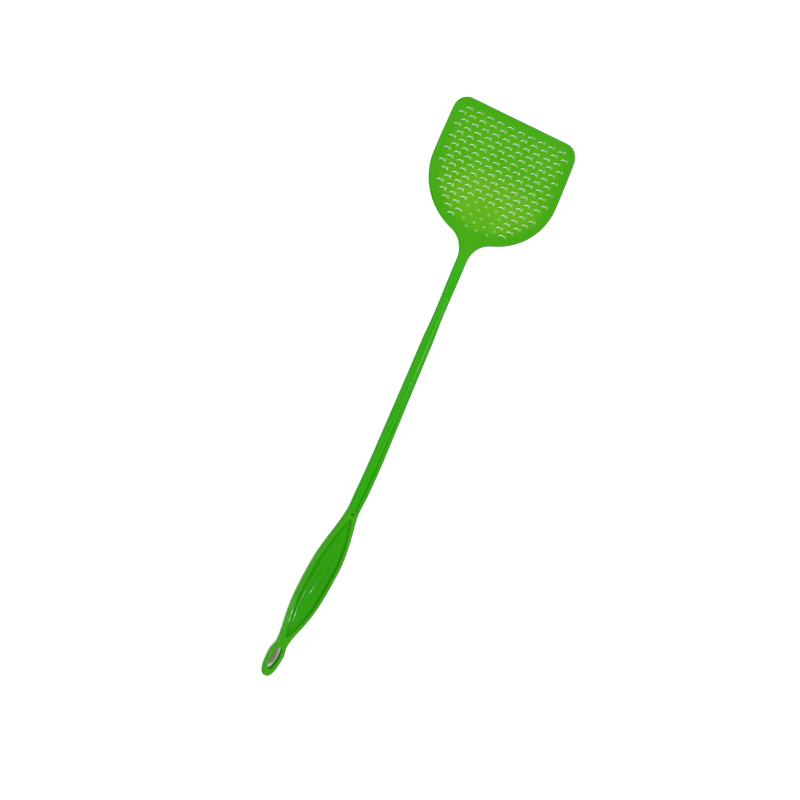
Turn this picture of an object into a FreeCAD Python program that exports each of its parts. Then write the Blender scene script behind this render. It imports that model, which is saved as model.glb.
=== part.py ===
"""Moulded fly swatter: a perforated blade on a springy neck, a channelled shaft, a leaf shaped
grip with a fluted panel, and an end loop with a hanging eye.

All stations (names ending in _AT) are distances in mm along the centre line, from the tip of the
blade.  X runs across the swatter and Y towards the tip.  The parts are built with the blade in
the plane Z = 0 and then laid down together: the tip and the end loop touch Z = 0.
"""
import FreeCAD, Part
import math
import os

from FreeCAD import Vector

# ---- blade ----------------------------------------------------------------------------------
BLADE_WIDTH = 103.4        # widest, across the shoulders
TIP_NARROWING = 2.2        # the tip is this much narrower, measured before its corners are rounded
SHOULDER_AT = 46.0         # the shoulders start to round in here
SHOULDER_LENGTH = 47.6     # from there to the bottom of the blade
SIDE_FULLNESS = 0.75       # how much of the bulge of the sides lies half way along them
CORNER_RADIUS = 11.0
THROAT_RADIUS = 18.5       # hollow curve from the shoulder into the neck
RIM_THICKNESS = 2.6
RIM_EDGE_RADIUS = 1.1
RIM_WIDTH = 4.4
WEB_THICKNESS = 1.6

# ---- openings in the web --------------------------------------------------------------------
HOLE_PITCH = 8.63
ROW_SPACING = 4.57
FIRST_ROW_AT = 7.45
HOLE_WIDTH = 5.6
HOLE_ARCH = 1.85           # height of the outer arc of a crescent
HOLE_HOLLOW = 0.75         # height of its inner arc
HOLE_MARGIN = 2.4          # least distance from the centre of a hole to the rim
BLIND_FROM_ROW = 13        # from this row on, the middle of the web is not pierced
BLIND_COLUMNS = 3          # half pitches to each side of the centre line
BOSS_RADIUS = 2.1          # low round bosses stand where the web is not pierced
BOSS_HEIGHT = 0.45

# ---- neck and shaft -------------------------------------------------------------------------
NECK_WIDTH = 8.1
NECK_LENGTH = 32.0         # the part that bends in use
NECK_START_LEAD = 6.0      # the neck starts this far before the throat curve ends
SHAFT_LENGTH = 170.0
SHAFT_THIN_WIDTH = 7.2
SHAFT_THIN_DISTANCE = 15.0     # from the start of the shaft
SHAFT_FULL_WIDTH = 8.6
SHAFT_FULL_DISTANCE = 42.0     # from the start of the shaft
SHAFT_END_WIDTH = 10.0
SHAFT_END_LEAD = 15.0      # it has that width this far before the grip
SHAFT_THICKNESS_AT_NECK = 4.2
SHAFT_THICKNESS_AT_GRIP = 5.4
CHANNEL_WIDTH = 3.2
CHANNEL_FLOOR = 2.6        # thickness left between the two channels

# ---- side view of the handle ----------------------------------------------------------------
BEND_LEAD = 47.5           # the bend starts this far before the grip
BEND_RADIUS = 270.0
CRANK_ANGLE = 16.0         # degrees

# ---- grip -----------------------------------------------------------------------------------
GRIP_LENGTH = 117.0        # from the end of the shaft to the waist
GRIP_NARROW_WIDTH = 9.3
GRIP_WIDEST_DISTANCE = 51.0    # from the end of the shaft
GRIP_WIDTH = 22.8
GRIP_THICKNESS = 7.8
WAIST_WIDTH = 9.6
WAIST_THICKNESS = 6.0
FRONT_FULLNESS = 0.78      # under 1, the grip widens early
BACK_FULLNESS = 1.95        # over 1, the grip narrows late
GRIP_RIM_WIDTH = 3.1
GRIP_RIM_ROUNDING = 0.8    # inner edges of the rim, on both faces
PANEL_LEAD = 7.0           # the panel starts this far into the grip
PANEL_END_LEAD = 7.0       # and ends this far before the waist
PANEL_LEAST_SHARE = 0.35   # of the grip's width, where its rim would leave less
PANEL_POINT_POWER = 6      # the higher, the blunter the two ends of the panel
PANEL_TIP_WIDTH = 0.6
PANEL_EDGE_THICKNESS = 3.0
PANEL_CENTRE_THICKNESS = 5.4
RIB_COUNT = 3
RIB_PITCH = 4.9
RIB_LENGTH = 46.0
RIB_WIDTH = 4.4
RIB_HEIGHT = 0.7
RIB_TAPER_STEP = 12.0      # each rib away from the middle is this much shorter
RIB_SHIFT = 3.0            # the ribs are centred this far behind the widest place

# ---- end loop -------------------------------------------------------------------------------
LOOP_LENGTH = 27.8
LOOP_WIDTH = 12.6
LOOP_WIDEST_DISTANCE = 8.5    # from the waist
LOOP_WALL = 3.4            # beside the eye
LOOP_END_WALL = 6.0        # behind the eye
EYE_LEAD = 2.0             # the eye starts this far behind the waist
EYE_EDGE_RADIUS = 0.9

# ---- derived --------------------------------------------------------------------------------
HALF_BLADE = BLADE_WIDTH / 2
TIP_WIDTH = BLADE_WIDTH - TIP_NARROWING
HALF_NECK = NECK_WIDTH / 2
FAR = 60.0                 # reach of cutting tools beyond the part
CLEAR = 0.1                # cutting tools that run near a face stand this far off it
QUARTERS = ((1, 1), (-1, 1), (-1, -1), (1, -1))    # signs of x and z, going round a section
CRANK = math.radians(CRANK_ANGLE)
SECTION_STEP = 7.0
CORNER_SHARE = 0.6         # corner radius of a handle section, as a share of its half thickness
NECK_CORNER_SHARE = RIM_EDGE_RADIUS / (RIM_THICKNESS / 2)


def throat():
    """Solve for the hollow curve that touches the shoulder ellipse and the side of the neck.

    Returns the touching point on the ellipse and the centre of the curve, as (x, station)."""
    low, high = 0.3, math.pi / 2
    for _ in range(60):
        angle = (low + high) / 2
        x = HALF_BLADE * math.cos(angle)
        y = SHOULDER_LENGTH * math.sin(angle)
        normal = Vector(x / HALF_BLADE ** 2, y / SHOULDER_LENGTH ** 2, 0).normalize()
        centre = Vector(x, SHOULDER_AT + y, 0) + normal * THROAT_RADIUS
        if centre.x > HALF_NECK + THROAT_RADIUS:
            low = angle
        else:
            high = angle
    return Vector(x, SHOULDER_AT + y, 0), centre


TOUCH, THROAT_CENTRE = throat()
THROAT_END_AT = THROAT_CENTRE.y
NECK_AT = THROAT_END_AT - NECK_START_LEAD
SHAFT_AT = NECK_AT + NECK_LENGTH
SHAFT_THIN_AT = SHAFT_AT + SHAFT_THIN_DISTANCE
SHAFT_FULL_AT = SHAFT_AT + SHAFT_FULL_DISTANCE
GRIP_AT = SHAFT_AT + SHAFT_LENGTH
SHAFT_END_AT = GRIP_AT - SHAFT_END_LEAD
BEND_AT = GRIP_AT - BEND_LEAD
BEND_END_AT = BEND_AT + BEND_RADIUS * CRANK
GRIP_WIDEST_AT = GRIP_AT + GRIP_WIDEST_DISTANCE
WAIST_AT = GRIP_AT + GRIP_LENGTH
PANEL_AT = GRIP_AT + PANEL_LEAD
PANEL_END_AT = WAIST_AT - PANEL_END_LEAD
LOOP_WIDEST_AT = WAIST_AT + LOOP_WIDEST_DISTANCE
LENGTH = WAIST_AT + LOOP_LENGTH
EYE_AT = WAIST_AT + EYE_LEAD
EYE_LENGTH = LOOP_LENGTH - EYE_LEAD - LOOP_END_WALL
EYE_WIDTH = LOOP_WIDTH - 2 * LOOP_WALL


def eased(a, b, share, power=1.0):
    """Go from a to b with level ends; power over 1 leaves a more slowly."""
    t = min(max(share, 0.0), 1.0) ** power
    return a + (b - a) * t * t * (3 - 2 * t)


def law(stations, at):
    """Value at a station, eased between (station, value, power) entries."""
    for (s0, v0, _), (s1, v1, power) in zip(stations, stations[1:]):
        if at <= s1:
            return eased(v0, v1, (at - s0) / (s1 - s0), power)
    return stations[-1][1]


def half_width(at):
    """Half width of the neck, shaft and grip."""
    if at < THROAT_END_AT:
        rise = THROAT_END_AT - at
        return HALF_NECK + THROAT_RADIUS - math.sqrt(THROAT_RADIUS ** 2 - rise ** 2)
    widths = ((THROAT_END_AT, NECK_WIDTH, 1),
              (SHAFT_THIN_AT, SHAFT_THIN_WIDTH, 1),
              (SHAFT_FULL_AT, SHAFT_FULL_WIDTH, 1),
              (SHAFT_END_AT, SHAFT_END_WIDTH, 1),
              (GRIP_AT, GRIP_NARROW_WIDTH, 1),
              (GRIP_WIDEST_AT, GRIP_WIDTH, FRONT_FULLNESS),
              (WAIST_AT, WAIST_WIDTH, BACK_FULLNESS))
    return law(widths, at) / 2


def half_thickness(at):
    """Half thickness of the neck, shaft and grip."""
    depths = ((NECK_AT, RIM_THICKNESS, 1),
              (SHAFT_AT, SHAFT_THICKNESS_AT_NECK, 1),
              (GRIP_AT, SHAFT_THICKNESS_AT_GRIP, 1),
              (GRIP_WIDEST_AT, GRIP_THICKNESS, FRONT_FULLNESS),
              (WAIST_AT, WAIST_THICKNESS, 1))
    return law(depths, at) / 2


def corner_radius(at):
    """Radius of the round corners of a handle section."""
    share = eased(NECK_CORNER_SHARE, CORNER_SHARE, (at - NECK_AT) / NECK_LENGTH)
    return min(share * half_thickness(at), 0.9 * half_width(at))


def frame_at(at):
    """Placement of the centre line at a station: X across, Y back along the line, Z out of the face."""
    turn = min(max(at - BEND_AT, 0.0), BEND_RADIUS * CRANK) / BEND_RADIUS
    y = -min(at, BEND_AT) - BEND_RADIUS * math.sin(turn)
    z = -BEND_RADIUS * (1 - math.cos(turn))
    beyond = max(at - BEND_END_AT, 0.0)
    base = Vector(0, y - beyond * math.cos(turn), z - beyond * math.sin(turn))
    return FreeCAD.Placement(base, FreeCAD.Rotation(Vector(1, 0, 0), math.degrees(turn)))


def plan(x, at):
    """Point of the flat plan: x across, station along."""
    return Vector(x, -at, 0)


def arc(a, b, c):
    return Part.Arc(a, b, c).toShape()


def line(a, b):
    return Part.LineSegment(a, b).toShape()


def oval_arc(centre, across, along, end_angle):
    """Arc of an oval with these half sizes, from its side round towards its back by an angle."""
    side, back = centre + Vector(across, 0, 0), centre - Vector(0, along, 0)
    if across >= along:
        return Part.ArcOfEllipse(Part.Ellipse(side, back, centre), 0, end_angle).toShape()
    oval = Part.Ellipse(back, side, centre)
    return Part.ArcOfEllipse(oval, math.pi / 2 - end_angle, math.pi / 2).toShape()


def is_level(edge):
    return edge.BoundBox.ZLength < 1e-6


def prism(edges, low=-FAR, high=FAR):
    """Upright solid between two heights, on a closed outline in the plan."""
    face = Part.Face(Part.Wire(Part.__sortEdges__(edges)))
    face.translate(Vector(0, 0, low))
    return face.extrude(Vector(0, 0, high - low))


def mirrored(edges):
    return [edge.mirror(Vector(0, 0, 0), Vector(1, 0, 0)) for edge in edges]


def placed_ring(edges, at):
    """Closed wire through edges in order, with lines between those that don't meet, at a station."""
    closed = []
    for before, edge in zip([edges[-1]] + edges[:-1], edges):
        a, b = before.Vertexes[-1].Point, edge.Vertexes[0].Point
        if (b - a).Length > 1e-6:
            closed.append(line(a, b))
        closed.append(edge)
    wire = Part.Wire(closed)
    wire.Placement = frame_at(at)
    return wire


def section(at):
    """Closed outline across the handle: a rectangle with round corners."""
    w, h, r = half_width(at), half_thickness(at), corner_radius(at)
    d = r * (1 - math.sqrt(0.5))
    edges = []
    for sx, sz in QUARTERS:
        a = Vector(sx * w, 0, sz * (h - r))
        b = Vector(sx * (w - d), 0, sz * (h - d))
        c = Vector(sx * (w - r), 0, sz * h)
        edges.append(arc(a, b, c) if sx * sz > 0 else arc(c, b, a))
    return placed_ring(edges, at)


def skin(start, end):
    """Solid lofted through the handle sections between two stations."""
    count = max(3, round((end - start) / SECTION_STEP))
    stations = [start + (end - start) * i / count for i in range(count + 1)]
    return Part.makeLoft([section(at) for at in stations], True, False)


def carried(face, start, end):
    """Carry a face, drawn across the handle at x, z, along the centre line between two stations."""
    solids = []
    for a, b in ((0.0, BEND_AT), (BEND_AT, BEND_END_AT), (BEND_END_AT, LENGTH + FAR)):
        a, b = max(a, start), min(b, end)
        if b <= a:
            continue
        piece = face.copy()
        piece.Placement = frame_at(a)
        if a >= BEND_AT and b <= BEND_END_AT:
            pivot = Vector(0, -BEND_AT, -BEND_RADIUS)
            solids.append(piece.revolve(pivot, Vector(1, 0, 0), math.degrees((b - a) / BEND_RADIUS)))
        else:
            solids.append(piece.extrude(frame_at(b).Base - frame_at(a).Base))
    return solids[0].fuse(solids[1:]).removeSplitter() if len(solids) > 1 else solids[0]


# ---- blade ----------------------------------------------------------------------------------
def tip_and_sides(inset):
    """Edges from shoulder to shoulder round the tip, brought in by an inset, and the corner point."""
    half_tip, half = TIP_WIDTH / 2 - inset, HALF_BLADE - inset
    corner = plan(half_tip, inset)
    middle_at = (inset + SHOULDER_AT) / 2
    bulge = plan(half_tip + (half - half_tip) * SIDE_FULLNESS, middle_at)
    side = arc(corner, bulge, plan(half, SHOULDER_AT))
    tip = line(corner, plan(-half_tip, inset))
    return [side] + mirrored([side]) + [tip], corner


def shoulder(inset, end_angle):
    """Part of the ellipse of the shoulders, from the widest place round towards the neck."""
    return oval_arc(plan(0, SHOULDER_AT), HALF_BLADE - inset, SHOULDER_LENGTH - inset, end_angle)


def plate(edges, corner, corner_radius, thickness):
    """Plate on a closed outline, with its two tip corners rounded."""
    blank = prism(edges, -thickness / 2, thickness / 2)
    upright = []
    for edge in blank.Edges:
        middle = edge.CenterOfMass
        if (Vector(abs(middle.x), middle.y, 0) - corner).Length < 1e-3:
            upright.append(edge)
    return blank.makeFillet(corner_radius, upright).Solids[0]


def blade_plate():
    """Plate on the outline of the whole blade, down to where the neck starts."""
    edges, corner = tip_and_sides(0)
    end = plan(half_width(NECK_AT), NECK_AT)
    middle_at = (TOUCH.y + NECK_AT) / 2
    throat_arc = arc(plan(TOUCH.x, TOUCH.y), plan(half_width(middle_at), middle_at), end)
    half = [shoulder(0, math.acos(TOUCH.x / HALF_BLADE)), throat_arc]
    bottom = line(end, plan(-half_width(NECK_AT), NECK_AT))
    return plate(edges + half + mirrored(half) + [bottom], corner, CORNER_RADIUS, RIM_THICKNESS)


def web_plate(thickness):
    """Plate that fills the space inside the rim."""
    edges, corner = tip_and_sides(RIM_WIDTH)
    half = [shoulder(RIM_WIDTH, math.pi / 2)]
    return plate(edges + half + mirrored(half), corner, CORNER_RADIUS - RIM_WIDTH, thickness)


def blade_rim():
    """Border of the blade, thicker than the web, with its outer edges rounded."""
    blank = blade_plate()
    round_edges = []
    for edge in blank.Edges:
        box = edge.BoundBox
        at_neck = abs(box.YMin + NECK_AT) < 1e-6 and abs(box.YMax + NECK_AT) < 1e-6
        if is_level(edge) and not at_neck:
            round_edges.append(edge)
    return blank.makeFillet(RIM_EDGE_RADIUS, round_edges).cut(web_plate(2 * RIM_THICKNESS))


def crescent(x, at):
    """Opening with its back arched towards the tip."""
    left, right = plan(x - HOLE_WIDTH / 2, at + HOLE_ARCH / 2), plan(x + HOLE_WIDTH / 2, at + HOLE_ARCH / 2)
    outer = arc(left, plan(x, at - HOLE_ARCH / 2), right)
    inner = arc(left, plan(x, at + HOLE_ARCH / 2 - HOLE_HOLLOW), right)
    return prism([outer, inner], -WEB_THICKNESS, WEB_THICKNESS)


def boss(x, at):
    """Low dome on the striking face, where the web isn't pierced, its foot sunk a little in."""
    radius = (BOSS_RADIUS ** 2 + BOSS_HEIGHT ** 2) / (2 * BOSS_HEIGHT)
    depth = radius - BOSS_HEIGHT - CLEAR
    centre = plan(x, at) + Vector(0, 0, WEB_THICKNESS / 2 + BOSS_HEIGHT - radius)
    return Part.makeSphere(radius, centre, Vector(0, 0, 1), math.degrees(math.asin(depth / radius)), 90)


def lattice(web):
    """Places in staggered rows that lie far enough inside the rim: (row, column, x, station)."""
    rim_line = web.section(Part.makePlane(2 * FAR, 2 * FAR, Vector(-FAR, -2 * FAR, 0)))
    places = []
    rows = int((SHOULDER_AT + SHOULDER_LENGTH - FIRST_ROW_AT) / ROW_SPACING) + 1
    reach = int(BLADE_WIDTH / HOLE_PITCH) + 1
    for row in range(rows):
        at = FIRST_ROW_AT + row * ROW_SPACING
        for column in range(-reach, reach + 1):
            spot = plan(column * HOLE_PITCH / 2, at)
            staggered = (column + row) % 2 == 1
            if staggered and web.isInside(spot, 1e-3, False):
                if rim_line.distToShape(Part.Vertex(spot))[0] >= HOLE_MARGIN:
                    places.append((row, column, spot.x, at))
    return places


def blade_web():
    """Thin web with rows of crescent openings, left whole in the middle near the neck."""
    web = web_plate(WEB_THICKNESS)
    openings, bosses = [], []
    for row, column, x, at in lattice(web):
        if row >= BLIND_FROM_ROW and abs(column) <= BLIND_COLUMNS:
            bosses.append(boss(x, at))
        else:
            openings.append(crescent(x, at))
    return web.cut(Part.makeCompound(openings)).fuse(bosses)


# ---- neck, shaft and grip -------------------------------------------------------------------
def channel(side):
    """Round bottomed groove down the middle of one face of the shaft, and the balls that end it."""
    depth = (SHAFT_THICKNESS_AT_GRIP - CHANNEL_FLOOR) / 2
    radius = (CHANNEL_WIDTH ** 2 / 4 + depth ** 2) / (2 * depth)
    centre = Vector(0, 0, side * (CHANNEL_FLOOR / 2 + radius))
    start, end = SHAFT_AT + CHANNEL_WIDTH, PANEL_AT - CHANNEL_WIDTH - radius
    disc = Part.Face(Part.Wire(Part.makeCircle(radius, centre, Vector(0, 1, 0))))
    balls = []
    for at in (start, end):
        ball = Part.makeSphere(radius)
        ball.Placement = frame_at(at).multiply(FreeCAD.Placement(centre, FreeCAD.Rotation()))
        balls.append(ball)
    return carried(disc, start, end), balls


def handle_skin(start, end):
    """Outer form of a stretch of the handle, with the two grooves cut into it."""
    (upper, upper_balls), (lower, lower_balls) = channel(1), channel(-1)
    return skin(start, end).cut([upper, lower]).cut(upper_balls + lower_balls)


def panel_half_width(at):
    """Half width of the grip's panel, drawn in to a point at both ends."""
    share = 2 * (at - PANEL_AT) / (PANEL_END_AT - PANEL_AT) - 1
    ends = math.sqrt(max(1 - abs(share) ** PANEL_POINT_POWER, 0))
    beside_rim = max(half_width(at) - GRIP_RIM_WIDTH, PANEL_LEAST_SHARE * half_width(at))
    return max(beside_rim * ends, PANEL_TIP_WIDTH / 2)


def opening_section(at):
    """Closed outline across the grip's opening: upright walls, flared round the edges of the rim."""
    w, h, r = panel_half_width(at), half_thickness(at) + CLEAR, GRIP_RIM_ROUNDING
    d = r * (1 - math.sqrt(0.5))
    edges = []
    for sx, sz in QUARTERS:
        wall, bend = Vector(sx * w, 0, sz * (h - r)), Vector(sx * (w + d), 0, sz * (h - d))
        face, outside = Vector(sx * (w + r), 0, sz * h), Vector(sx * (w + r), 0, sz * 2 * h)
        if sx * sz > 0:
            edges.extend([arc(wall, bend, face), line(face, outside)])
        else:
            edges.extend([line(outside, face), arc(face, bend, wall)])
    return placed_ring(edges, at)


def opening():
    """Hollow right through the grip that its panel fills, with closer sections at its two ends."""
    middle, half = (PANEL_AT + PANEL_END_AT) / 2, (PANEL_END_AT - PANEL_AT) / 2
    count = round(2 * half / SECTION_STEP)
    stations = [middle - half * math.cos(math.pi * i / count) for i in range(count + 1)]
    return Part.makeLoft([opening_section(at) for at in stations], True, False)


def lens():
    """Cross-section of the grip's panel, thicker in the middle than at its edges."""
    half = GRIP_WIDTH / 2
    edge, middle = PANEL_EDGE_THICKNESS / 2, PANEL_CENTRE_THICKNESS / 2
    top = arc(Vector(-half, 0, edge), Vector(0, 0, middle), Vector(half, 0, edge))
    low = arc(Vector(half, 0, -edge), Vector(0, 0, -middle), Vector(-half, 0, -edge))
    right = line(Vector(half, 0, edge), Vector(half, 0, -edge))
    left = line(Vector(-half, 0, -edge), Vector(-half, 0, edge))
    return Part.Face(Part.Wire([top, right, low, left]))


def rib(index, side):
    """Long raised blister on the panel, tapering to both ends."""
    offset = index - (RIB_COUNT - 1) / 2
    length = RIB_LENGTH - RIB_TAPER_STEP * abs(offset)
    x = offset * RIB_PITCH
    crown = (GRIP_WIDTH ** 2 / 4 + (PANEL_CENTRE_THICKNESS - PANEL_EDGE_THICKNESS) ** 2 / 4) \
        / (PANEL_CENTRE_THICKNESS - PANEL_EDGE_THICKNESS)
    level = PANEL_CENTRE_THICKNESS / 2 - crown + math.sqrt(crown ** 2 - x ** 2)
    matrix = FreeCAD.Matrix()
    matrix.scale(RIB_WIDTH / 2, length / 2, 2 * RIB_HEIGHT)
    blister = Part.makeSphere(1).transformGeometry(matrix)
    blister.translate(Vector(x, 0, side * (level - RIB_HEIGHT)))
    blister.Placement = frame_at(GRIP_WIDEST_AT + RIB_SHIFT).multiply(blister.Placement)
    return blister


def grip_parts():
    hollow = opening()
    rim = handle_skin(GRIP_AT, WAIST_AT).cut(hollow)
    panel = carried(lens(), GRIP_AT, WAIST_AT).common(hollow)
    ribs = [rib(i, side) for i in range(RIB_COUNT) for side in (1, -1)]
    return rim, panel.fuse(ribs)


# ---- end loop -------------------------------------------------------------------------------
def hanging_loop():
    """Rounded link behind the waist, with an oval eye right through it."""
    thickness = 2 * half_thickness(WAIST_AT)
    half, tail = LOOP_WIDTH / 2, LENGTH - LOOP_WIDEST_AT
    front = Part.BSplineCurve()
    widest_at = LOOP_WIDEST_AT - WAIST_AT
    back = Vector(0, -1, 0)
    front.interpolate(Points=[plan(half_width(WAIST_AT), 0), plan(half, widest_at)],
                      InitialTangent=back, FinalTangent=back)
    end = oval_arc(plan(0, widest_at), half, tail, math.pi / 2)
    waist = line(plan(half_width(WAIST_AT), 0), plan(-half_width(WAIST_AT), 0))
    sides = [front.toShape(), end]
    link = prism(sides + mirrored(sides) + [waist], -thickness / 2, thickness / 2)
    radius = min(corner_radius(WAIST_AT), 0.9 * half ** 2 / tail)
    link = link.makeFillet(radius, [e for e in link.Edges if is_level(e) and e.BoundBox.YMin < -1e-6])
    middle = plan(0, EYE_AT + EYE_LENGTH / 2 - WAIST_AT)
    eye = Part.Ellipse(middle + Vector(0, EYE_LENGTH / 2, 0), middle + Vector(EYE_WIDTH / 2, 0, 0), middle)
    link = link.cut(prism([eye.toShape()]))
    rims = [e for e in link.Edges if is_level(e) and abs(e.CenterOfMass.x) < 1e-3
            and abs(e.CenterOfMass.y - middle.y) < 1e-3]
    link = link.makeFillet(EYE_EDGE_RADIUS, rims)
    link.Placement = frame_at(WAIST_AT)
    return link


# ---- laying the swatter down ----------------------------------------------------------------
def resting_placement():
    """Turn and lift that bring the round edges of the tip and of the end loop down to Z = 0."""
    tip_radius, end_radius = RIM_EDGE_RADIUS, corner_radius(WAIST_AT)
    tip = Vector(0, -tip_radius, tip_radius - RIM_THICKNESS / 2)
    end_frame = frame_at(LENGTH)
    end = end_frame.multVec(Vector(0, end_radius, end_radius - half_thickness(WAIST_AT)))
    span = tip - end
    reach = math.hypot(span.y, span.z)
    turn = math.asin((tip_radius - end_radius) / reach) - math.atan2(span.z, span.y)
    rotation = FreeCAD.Rotation(Vector(1, 0, 0), math.degrees(turn))
    lift = tip_radius - rotation.multVec(tip).z
    front = rotation.multVec(tip).y + tip_radius
    back = rotation.multVec(end).y - end_radius
    return FreeCAD.Placement(Vector(0, -(front + back) / 2, lift), rotation)


def build():
    rim, panel = grip_parts()
    return {"blade_rim": blade_rim(),
            "blade_web": blade_web(),
            "neck": skin(NECK_AT, SHAFT_AT),
            "shaft": handle_skin(SHAFT_AT, GRIP_AT),
            "grip_rim": rim,
            "grip_panel": panel,
            "hanging_loop": hanging_loop()}


def main():
    os.makedirs("parts", exist_ok=True)
    lying = resting_placement()
    for name, shape in build().items():
        solid = shape.Solids[0] if len(shape.Solids) == 1 else shape
        solid.Placement = lying.multiply(solid.Placement)
        solid.exportStep("parts/" + name + ".step")
        box = solid.BoundBox
        print(name, len(shape.Solids), solid.isValid(), round(solid.Volume, 1),
              [round(v, 2) for v in (box.XMin, box.YMin, box.ZMin, box.XMax, box.YMax, box.ZMax)])


main()
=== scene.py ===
"""Moulded fly swatter, dressed over its packed frame: each piece is a surface worked out by numpy
from the sizes in the sidebar, in metres, in the frame's own place."""
import math

import bmesh
import bpy
import numpy as np
from bpy.props import FloatProperty, FloatVectorProperty, IntProperty, PointerProperty
from mathutils import Matrix, Vector


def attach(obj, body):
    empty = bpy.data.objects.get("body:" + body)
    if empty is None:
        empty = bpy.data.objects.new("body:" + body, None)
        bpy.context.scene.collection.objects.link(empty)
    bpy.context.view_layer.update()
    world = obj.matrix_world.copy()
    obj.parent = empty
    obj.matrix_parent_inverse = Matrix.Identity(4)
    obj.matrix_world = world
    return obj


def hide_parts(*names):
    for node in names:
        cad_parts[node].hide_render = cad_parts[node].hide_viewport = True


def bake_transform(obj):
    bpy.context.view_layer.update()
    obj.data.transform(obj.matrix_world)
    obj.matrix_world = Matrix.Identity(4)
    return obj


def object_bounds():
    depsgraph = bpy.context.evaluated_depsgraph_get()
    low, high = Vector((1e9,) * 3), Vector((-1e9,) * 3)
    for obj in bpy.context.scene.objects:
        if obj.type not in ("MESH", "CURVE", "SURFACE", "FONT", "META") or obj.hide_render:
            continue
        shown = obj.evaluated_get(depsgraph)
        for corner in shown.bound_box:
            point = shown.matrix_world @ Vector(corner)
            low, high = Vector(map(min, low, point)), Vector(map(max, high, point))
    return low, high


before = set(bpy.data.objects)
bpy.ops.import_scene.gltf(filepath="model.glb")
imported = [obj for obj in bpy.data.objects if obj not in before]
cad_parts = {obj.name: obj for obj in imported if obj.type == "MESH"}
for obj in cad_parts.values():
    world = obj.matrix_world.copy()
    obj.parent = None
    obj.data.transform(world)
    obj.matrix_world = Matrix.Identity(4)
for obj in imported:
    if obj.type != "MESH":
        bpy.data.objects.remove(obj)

CAD_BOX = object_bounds()

bl_info = {
    "name": "Moulded fly swatter",
    "version": (1, 0, 0),
    "blender": (4, 5, 0),
    "location": "3D View > Sidebar > Swatter",
    "description": "Builds a one-piece moulded fly swatter and the table that it lies on",
    "category": "Object",
}

MM = 0.001


# ---- settings ----
def spoken(key):
    """Name to show for a key."""
    return key.replace("_", " ").capitalize()


def lengths(**rows):
    """Length properties from a default in millimetres and a description under each key."""
    return {key: FloatProperty(name=spoken(key), description=text, default=value * MM, min=0.0,
                               precision=5, unit="LENGTH") for key, (value, text) in rows.items()}


def colours(**rows):
    """Colour properties from a default and a description under each key."""
    return {key: FloatVectorProperty(name=spoken(key), description=text, default=value, size=3,
                                     min=0.0, max=1.0, subtype="COLOR")
            for key, (value, text) in rows.items()}


class BladeSizes(bpy.types.PropertyGroup):
    """Outline and thickness of the blade."""
    __annotations__ = lengths(
        width=(103.4, "Widest, across the shoulders"),
        tip_narrowing=(2.2, "How much narrower the tip is than the shoulders"),
        shoulder_at=(46.0, "Distance from the tip to where the shoulders round in"),
        shoulder_length=(47.6, "From there to the bottom of the blade"),
        corner_radius=(11.0, "Rounding of the two corners of the tip"),
        throat_radius=(18.5, "Hollow curve between shoulder and neck"),
        border_width=(4.4, "Width of the thick border round the web"),
        border_thickness=(2.6, "Thickness of the border"),
        edge_radius=(1.1, "Rounding of the outer edges of the border"),
        cove_width=(3.2, "Width of the slope from the border down to the web"),
        dish_width=(15.0, "Width over which the web thins from the border inward"),
        dish_depth=(0.42, "How much higher the web stands at the border"),
        web_thickness=(1.6, "Thickness of the pierced web"),
        tone_width=(7.0, "Width over which the border's green turns into the web's"))


class OpeningSizes(bpy.types.PropertyGroup):
    """Rows of crescent openings, each on a low boss."""
    __annotations__ = lengths(
        pitch=(8.63, "Distance between openings in a row"),
        spacing=(4.57, "Distance between rows"),
        first_row_at=(7.45, "Distance from the tip to the first row"),
        width=(5.4, "Width of a crescent"),
        arch=(1.6, "Height of the outer arc of a crescent"),
        hollow=(1.25, "Height of its inner arc"),
        tip_width=(0.38, "Width of its blunt ends"),
        lag=(0.62, "How far a boss lies behind its place in the rows"),
        lead=(0.1, "How far a crescent lies before the middle of its boss"),
        skew=(0.5, "How far a crescent lies to the side on the back"),
        margin=(2.4, "Least distance from the middle of an opening to the border"),
        boss_height=(0.56, "How far a boss stands up"),
        boss_width=(5.0, "Width of its dome"),
        boss_depth=(4.5, "Size of its dome along the blade"),
        foot_width=(6.4, "Width of its foot, past the ends of the crescent"),
    ) | {
        "drift": FloatProperty(name="Drift", default=-0.65 * MM, unit="LENGTH",
                               description="How far a boss lies to the side of its place"),
        "draft": FloatProperty(name="Draft", default=1.1, min=1.0,
                               description="Back width of a crescent, as a share of its front's"),
        "blind_from_row": IntProperty(
            name="Blind from row", default=13, min=1,
            description="Row from which the middle of the web is not pierced"),
        "blind_columns": IntProperty(name="Blind columns", default=3, min=0,
                                     description="Half pitches to each side that stay blind there"),
    }


class HandleSizes(bpy.types.PropertyGroup):
    """Neck, shaft and the bend of the handle."""
    __annotations__ = lengths(
        neck_width=(8.1, "Width of the neck"),
        neck_length=(32.0, "Length of the stretch that bends in use"),
        neck_lead=(6.0, "The neck starts this far before the throat curve ends"),
        shaft_length=(170.0, "From the neck to the grip"),
        thin_width=(7.2, "Width of the shaft where it is thinnest"),
        full_width=(8.6, "Width of the shaft farther down"),
        end_width=(10.0, "Width of the shaft before the grip"),
        neck_end_thickness=(4.2, "Thickness of the shaft at the neck"),
        grip_end_thickness=(5.4, "Thickness of the shaft at the grip"),
        channel_width=(3.2, "Width of the groove along each face"),
        channel_floor=(2.6, "Thickness left between the two grooves"),
        bend_radius=(270.0, "Radius of the bend between shaft and grip"),
    ) | {
        "bend_angle": FloatProperty(name="Bend angle", default=math.radians(16.0), subtype="ANGLE",
                                    description="Angle between shaft and grip"),
    }


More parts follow.
